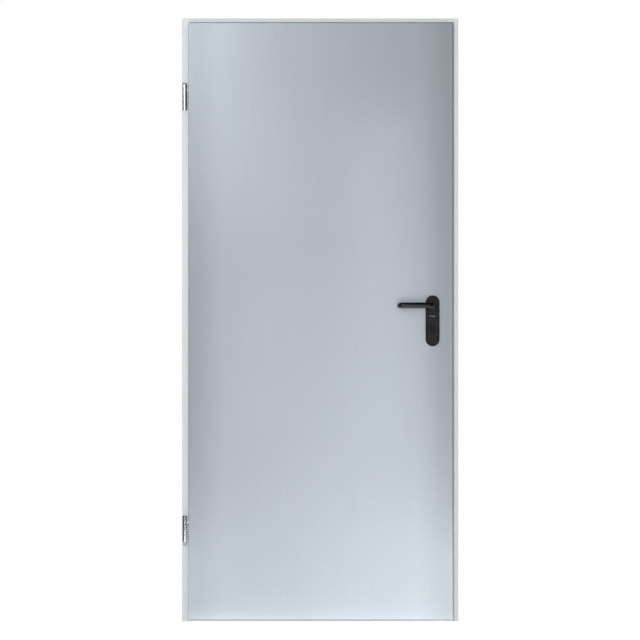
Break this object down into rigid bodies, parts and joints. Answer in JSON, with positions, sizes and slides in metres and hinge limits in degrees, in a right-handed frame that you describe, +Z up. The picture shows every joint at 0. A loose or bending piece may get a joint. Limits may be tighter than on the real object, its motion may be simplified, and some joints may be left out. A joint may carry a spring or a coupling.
{
  "type": "steel utility door with frame",
  "caption": "Rebated galvanised steel door leaf in a folded corner frame, with lift-off hinges, mortice lock and black plastic lever handles.",
  "frame": {"origin": "middle of the frame's width, in the plane of the wall's face, on the underside of the threshold rail", "axes": "+X to the right seen from the hinge knuckles, +Y into the wall, +Z up"},
  "size_m": [0.918, 0.1554, 2.004],
  "materials": {
    "frame_steel": "pale grey stoved primer on galvanised sheet",
    "leaf_steel": "smooth galvanised sheet, blue-grey, soft sheen",
    "rail_steel": "galvanised sheet, dull",
    "strap_steel": "galvanised strip",
    "hinge_steel": "turned, zinc plated",
    "hinge_brass": "turned washer",
    "lock_steel": "zinc plated",
    "seal_rubber": "matt extruded",
    "cap_plastic": "pale grey, moulded",
    "handle_plastic": "black, satin, moulded",
    "insert_plastic": "black, moulded",
    "core_board": "honeycomb"
  },
  "bodies": {
    "frame": {"frame_hinge_jamb": "frame_steel", "frame_head": "frame_steel", "frame_lock_jamb_lower": "frame_steel", "frame_lock_jamb_strike": "frame_steel", "frame_lock_jamb_upper": "frame_steel", "threshold_rail": "rail_steel", "seal_hinge_side": "seal_rubber", "seal_lock_side": "seal_rubber", "seal_head": "seal_rubber", "wall_anchor_hinge_side_low": "strap_steel", "wall_anchor_hinge_side_middle": "strap_steel", "wall_anchor_hinge_side_top": "strap_steel", "wall_anchor_lock_side_low": "strap_steel", "wall_anchor_lock_side_middle": "strap_steel", "wall_anchor_lock_side_top": "strap_steel", "anchor_caps": "cap_plastic", "hinge_washers": "hinge_brass", "strike_box": "strap_steel", "hinge_pocket_lower": "strap_steel", "hinge_pocket_upper": "strap_steel", "hinge_frame_half_lower": "hinge_steel", "hinge_pin_lower": "hinge_steel", "hinge_frame_half_upper": "hinge_steel", "hinge_pin_upper": "hinge_steel"},
    "leaf": {"hinge_leaf_half_lower": "hinge_steel", "hinge_cap_lower": "hinge_steel", "hinge_leaf_half_upper": "hinge_steel", "hinge_cap_upper": "hinge_steel", "leaf_front_sheet": "leaf_steel", "leaf_back_sheet": "leaf_steel", "leaf_bottom_channel": "leaf_steel", "leaf_core": "core_board", "lock_forend": "lock_steel", "lock_stiffener": "lock_steel", "lock_case": "lock_steel", "latch_bolt": "lock_steel", "dead_bolt": "lock_steel", "plate_screws": "lock_steel", "handle_plate_front": "handle_plastic", "handle_plate_back": "handle_plastic", "key_insert": "insert_plastic"},
    "lever_set": {"lever_front": "handle_plastic", "lever_back": "handle_plastic", "spindle": "lock_steel", "lock_follower": "lock_steel"}
  },
  "joints": [
    {"name": "leaf_swing", "type": "hinge", "parent": "frame", "child": "leaf", "pos_m": [-0.4495, -0.037, 1], "axis": [0, 0, -1], "range_deg": [0, 170]},
    {"name": "lever_turn", "type": "hinge", "parent": "leaf", "child": "lever_set", "pos_m": [0.373, -0.015, 1.05], "axis": [0, -1, 0], "range_deg": [0, 45], "stiffness_Nm_per_rad": 2, "springref_deg": -11.46}
  ]
}
